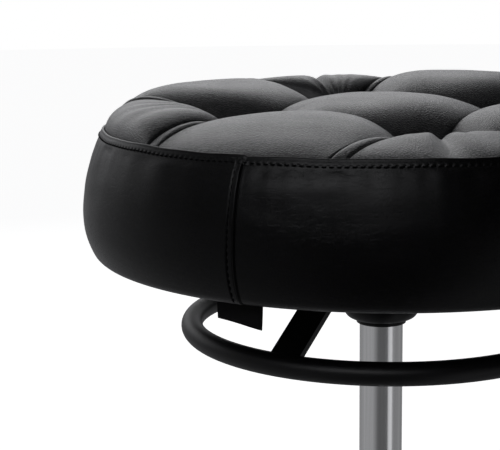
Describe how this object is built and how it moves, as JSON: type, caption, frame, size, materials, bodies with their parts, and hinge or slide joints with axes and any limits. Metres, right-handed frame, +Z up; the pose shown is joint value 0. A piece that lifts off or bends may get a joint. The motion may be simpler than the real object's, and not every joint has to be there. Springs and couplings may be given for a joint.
{
  "type": "salon stool",
  "caption": "Round tufted salon stool with a ring release lever under the seat, on a gas lift and a star base with swivelling twin-wheel casters.",
  "frame": {"origin": "on the floor, on the axis of the gas lift", "axes": "+Z up along the gas lift, -Y towards the front of the seat as in the picture, +X to its right"},
  "size_m": [0.5376, 0.5298, 0.5672],
  "materials": {
    "black_leather": "satin",
    "foam": "matte",
    "plywood": "matte",
    "cord": "matte",
    "black_cloth": "matte",
    "black_steel": "satin",
    "zinc_steel": "satin",
    "column_steel": "satin",
    "black_plastic": "matte",
    "black_rubber": "matte",
    "chrome": "polished",
    "caster_plastic": "satin",
    "wheel_plastic": "matte"
  },
  "bodies": {
    "base": {"base_hub": "chrome", "caster_sockets": "black_plastic", "caster_stems": "zinc_steel", "outer_tube": "chrome", "guide_bush": "black_plastic", "lower_washer": "zinc_steel", "base_leg_1": "chrome", "base_leg_2": "chrome", "base_leg_3": "chrome", "base_leg_4": "chrome", "base_leg_5": "chrome"},
    "gas_rod": {"lift_rod": "column_steel", "lift_piston": "column_steel", "bump_stop": "black_rubber", "upper_washer": "zinc_steel", "bearing_balls": "zinc_steel", "rod_clip": "zinc_steel"},
    "seat": {"top_cover": "black_leather", "side_band": "black_leather", "seat_foam": "foam", "seat_board": "plywood", "tuft_cords": "cord", "tee_nuts": "zinc_steel", "dust_cover": "black_cloth", "dust_cover_staples": "zinc_steel", "side_label": "black_cloth", "mounting_plate": "black_steel", "plate_bolts": "zinc_steel", "socket_tube": "black_steel", "socket_bracket": "black_steel", "socket_standoffs": "black_steel", "fulcrum_ring": "black_plastic", "lift_column": "column_steel", "column_gland": "column_steel"},
    "release_lever": {"lever_disc": "black_steel", "lever_arms": "black_steel", "release_ring": "black_steel"},
    "valve_pin": {"valve_pin": "zinc_steel"},
    "caster_1": {"caster_1_hood": "caster_plastic", "caster_1_axle": "zinc_steel"},
    "caster_1_wheel_left": {"caster_1_wheel_left": "wheel_plastic"},
    "caster_1_wheel_right": {"caster_1_wheel_right": "wheel_plastic"},
    "caster_2": {"caster_2_hood": "caster_plastic", "caster_2_axle": "zinc_steel"},
    "caster_2_wheel_left": {"caster_2_wheel_left": "wheel_plastic"},
    "caster_2_wheel_right": {"caster_2_wheel_right": "wheel_plastic"},
    "caster_3": {"caster_3_hood": "caster_plastic", "caster_3_axle": "zinc_steel"},
    "caster_3_wheel_left": {"caster_3_wheel_left": "wheel_plastic"},
    "caster_3_wheel_right": {"caster_3_wheel_right": "wheel_plastic"},
    "caster_4": {"caster_4_hood": "caster_plastic", "caster_4_axle": "zinc_steel"},
    "caster_4_wheel_left": {"caster_4_wheel_left": "wheel_plastic"},
    "caster_4_wheel_right": {"caster_4_wheel_right": "wheel_plastic"},
    "caster_5": {"caster_5_hood": "caster_plastic", "caster_5_axle": "zinc_steel"},
    "caster_5_wheel_left": {"caster_5_wheel_left": "wheel_plastic"},
    "caster_5_wheel_right": {"caster_5_wheel_right": "wheel_plastic"}
  },
  "joints": [
    {"name": "seat_swivel", "type": "hinge", "parent": "base", "child": "gas_rod", "pos_m": [0, 0, 0.0641], "axis": [0, 0, 1], "continuous": true},
    {"name": "seat_lift", "type": "slide", "parent": "gas_rod", "child": "seat", "axis": [0, 0, 1], "range_m": [-0.13, 0]},
    {"name": "release_tilt", "type": "hinge", "parent": "seat", "child": "release_lever", "pos_m": [0, -0.045, 0.4609], "axis": [-1, 0, 0], "range_deg": [0, 3.5], "stiffness_Nm_per_rad": 12, "springref_deg": -5.73},
    {"name": "valve_press", "type": "slide", "parent": "seat", "child": "valve_pin", "axis": [0, 0, 1], "range_m": [-0.003, 0]},
    {"name": "caster_1_swivel", "type": "hinge", "parent": "base", "child": "caster_1", "pos_m": [0, -0.24, 0.025], "axis": [0, 0, 1], "continuous": true},
    {"name": "caster_1_left_roll", "type": "hinge", "parent": "caster_1", "child": "caster_1_wheel_left", "pos_m": [-0.01722, -0.24803, 0.025], "axis": [-0.4226, 0.9063, 0], "continuous": true},
    {"name": "caster_1_right_roll", "type": "hinge", "parent": "caster_1", "child": "caster_1_wheel_right", "pos_m": [-0.01722, -0.24803, 0.025], "axis": [-0.4226, 0.9063, 0], "continuous": true},
    {"name": "caster_2_swivel", "type": "hinge", "parent": "base", "child": "caster_2", "pos_m": [0.22825, -0.07416, 0.025], "axis": [0, 0, 1], "continuous": true},
    {"name": "caster_2_left_roll", "type": "hinge", "parent": "caster_2", "child": "caster_2_wheel_left", "pos_m": [0.23057, -0.09302, 0.025], "axis": [-0.9925, -0.1219, 0], "continuous": true},
    {"name": "caster_2_right_roll", "type": "hinge", "parent": "caster_2", "child": "caster_2_wheel_right", "pos_m": [0.23057, -0.09302, 0.025], "axis": [-0.9925, -0.1219, 0], "continuous": true},
    {"name": "caster_3_swivel", "type": "hinge", "parent": "base", "child": "caster_3", "pos_m": [0.14107, 0.19416, 0.025], "axis": [0, 0, 1], "continuous": true},
    {"name": "caster_3_left_roll", "type": "hinge", "parent": "caster_3", "child": "caster_3_wheel_left", "pos_m": [0.15972, 0.19054, 0.025], "axis": [-0.1908, -0.9816, 0], "continuous": true},
    {"name": "caster_3_right_roll", "type": "hinge", "parent": "caster_3", "child": "caster_3_wheel_right", "pos_m": [0.15972, 0.19054, 0.025], "axis": [-0.1908, -0.9816, 0], "continuous": true},
    {"name": "caster_4_swivel", "type": "hinge", "parent": "base", "child": "caster_4", "pos_m": [-0.14107, 0.19416, 0.025], "axis": [0, 0, 1], "continuous": true},
    {"name": "caster_4_left_roll", "type": "hinge", "parent": "caster_4", "child": "caster_4_wheel_left", "pos_m": [-0.13186, 0.21078, 0.025], "axis": [0.8746, -0.4848, 0], "continuous": true},
    {"name": "caster_4_right_roll", "type": "hinge", "parent": "caster_4", "child": "caster_4_wheel_right", "pos_m": [-0.13186, 0.21078, 0.025], "axis": [0.8746, -0.4848, 0], "continuous": true},
    {"name": "caster_5_swivel", "type": "hinge", "parent": "base", "child": "caster_5", "pos_m": [-0.22825, -0.07416, 0.025], "axis": [0, 0, 1], "continuous": true},
    {"name": "caster_5_left_roll", "type": "hinge", "parent": "caster_5", "child": "caster_5_wheel_left", "pos_m": [-0.24121, -0.06027, 0.025], "axis": [0.7314, 0.682, 0], "continuous": true},
    {"name": "caster_5_right_roll", "type": "hinge", "parent": "caster_5", "child": "caster_5_wheel_right", "pos_m": [-0.24121, -0.06027, 0.025], "axis": [0.7314, 0.682, 0], "continuous": true}
  ],
  "couplings": [
    {"joint": "valve_press", "follows": "release_tilt", "m_per_rad": -0.045}
  ]
}
